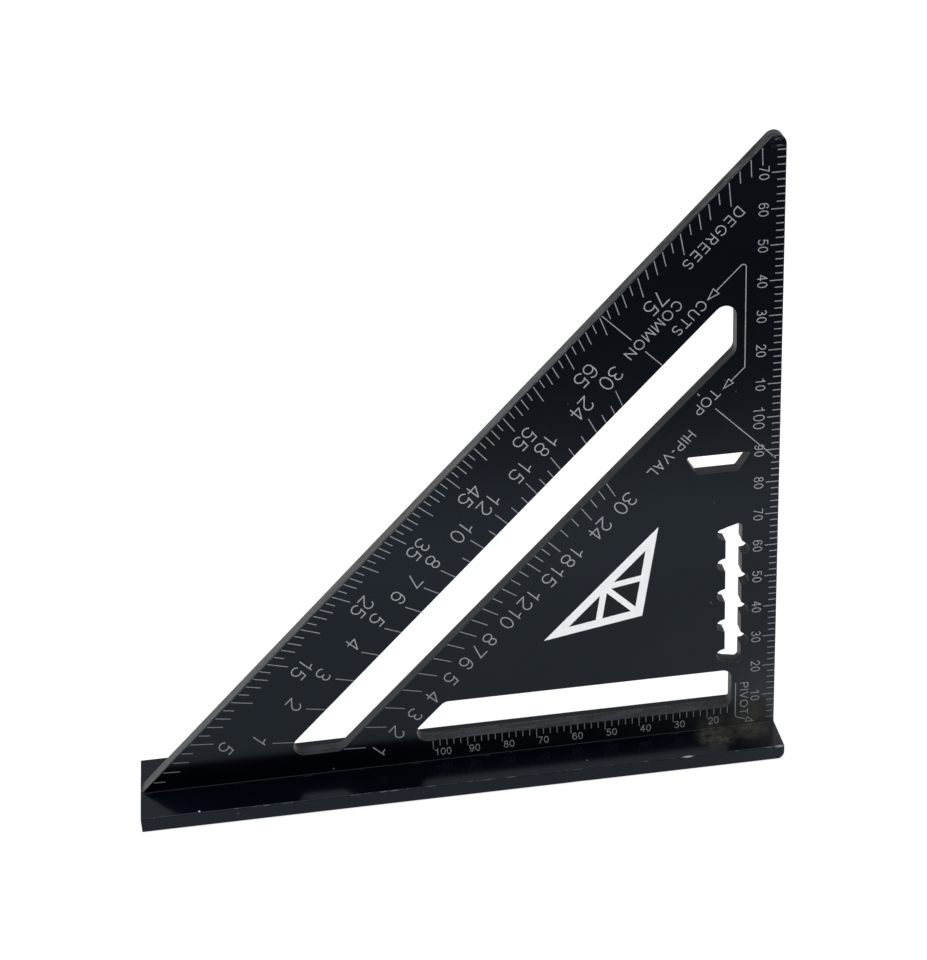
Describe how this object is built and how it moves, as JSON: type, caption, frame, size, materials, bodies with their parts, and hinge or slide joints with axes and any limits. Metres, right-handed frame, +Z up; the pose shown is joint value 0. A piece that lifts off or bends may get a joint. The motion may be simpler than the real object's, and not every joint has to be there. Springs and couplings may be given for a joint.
{
  "type": "speed square",
  "caption": "Triangular rafter square: flat blade with long slanted window, lower window and notched scribing slot, square on a fence, with rafter, degree and millimetre scales.",
  "frame": {"origin": "centre of the fence's underside, midway along the fence and on the blade's mid-plane", "axes": "+X along the fence towards the upright edge, +Y out of the blade's back, +Z up the upright edge, square to the fence"},
  "size_m": [0.1842, 0.0288, 0.1846],
  "materials": {
    "anodised": "glossy black anodised, satin on the cut edges",
    "marks": "pale grey laser-marked film",
    "white_print": "white screen print"
  },
  "bodies": {
    "root": {"blade": "anodised", "fence": "anodised", "degree_ticks": "marks", "degree_figures": "marks", "degree_caption": "marks", "common_ticks": "marks", "common_figures": "marks", "common_caption": "marks", "hip_valley_ticks": "marks", "hip_valley_figures": "marks", "hip_valley_caption": "marks", "edge_ticks": "marks", "edge_figures": "marks", "slot_ticks": "marks", "slot_figures": "marks", "guide_line": "marks", "caption_leader": "marks", "pivot_mark": "marks", "roof_emblem": "white_print"}
  },
  "joints": []
}
